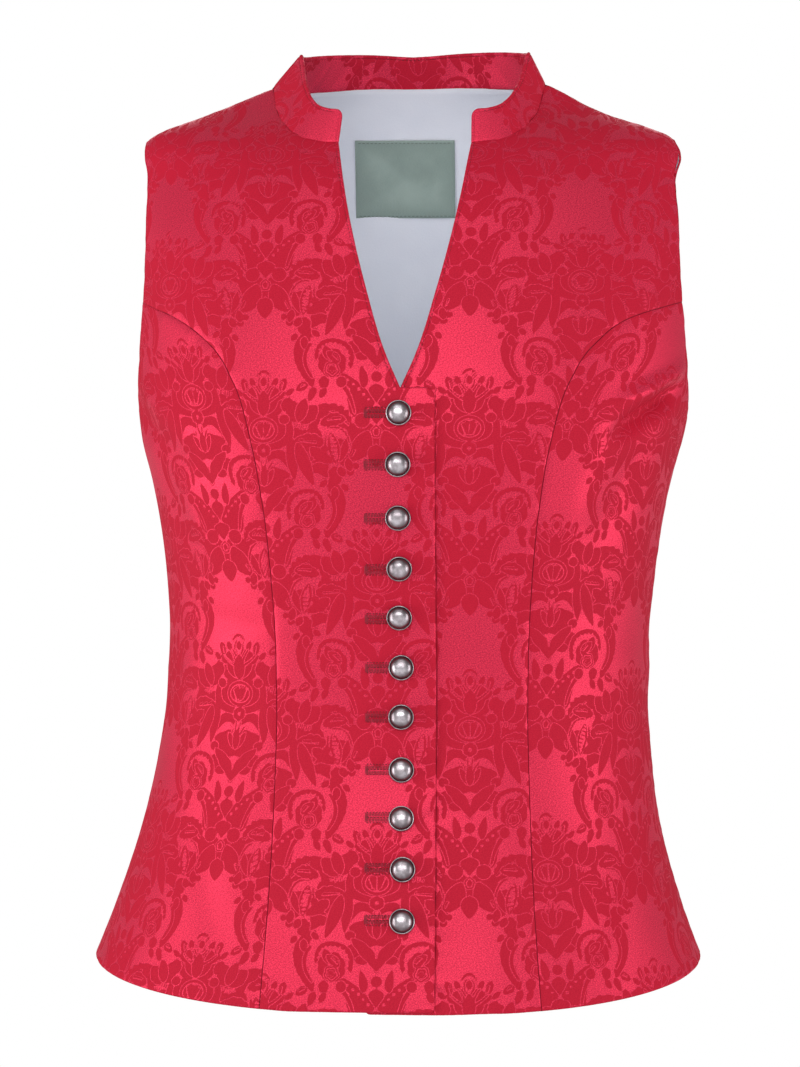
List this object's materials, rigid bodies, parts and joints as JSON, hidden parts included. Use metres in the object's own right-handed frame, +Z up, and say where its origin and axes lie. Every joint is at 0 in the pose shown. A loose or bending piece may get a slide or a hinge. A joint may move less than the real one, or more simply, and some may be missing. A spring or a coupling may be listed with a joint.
{
  "type": "dirndl bodice",
  "caption": "Sleeveless princess-seamed folk-dress bodice in figured satin, with a notched stand collar, a narrow V neck and a row of domed buttons, filled out as when worn.",
  "frame": {"origin": "midway between the two shoulder seams, at the height of their middles, where the wearer's shoulders hold the bodice up", "axes": "+Z up towards the collar, -Y out of the front, +X to the wearer's left"},
  "size_m": [0.3612, 0.2548, 0.5728],
  "materials": {
    "damask": "figured satin, glossy pink-red ground with a duller deep red floral figure",
    "lining": "smooth pale grey-blue lining",
    "label": "grey-green woven satin label, bare",
    "button_metal": "antique silver, domed, darkened at the rim"
  },
  "bodies": {
    "root": {"centre_front_right": "damask", "centre_front_left": "damask", "side_front_right": "damask", "side_front_left": "damask", "side_back_right": "damask", "side_back_left": "damask", "centre_back": "damask", "collar_outer": "damask", "collar_inner": "damask", "back_lining": "lining", "label": "label", "button_01": "button_metal", "button_02": "button_metal", "button_03": "button_metal", "button_04": "button_metal", "button_05": "button_metal", "button_06": "button_metal", "button_07": "button_metal", "button_08": "button_metal", "button_09": "button_metal", "button_10": "button_metal", "button_11": "button_metal"}
  },
  "joints": []
}
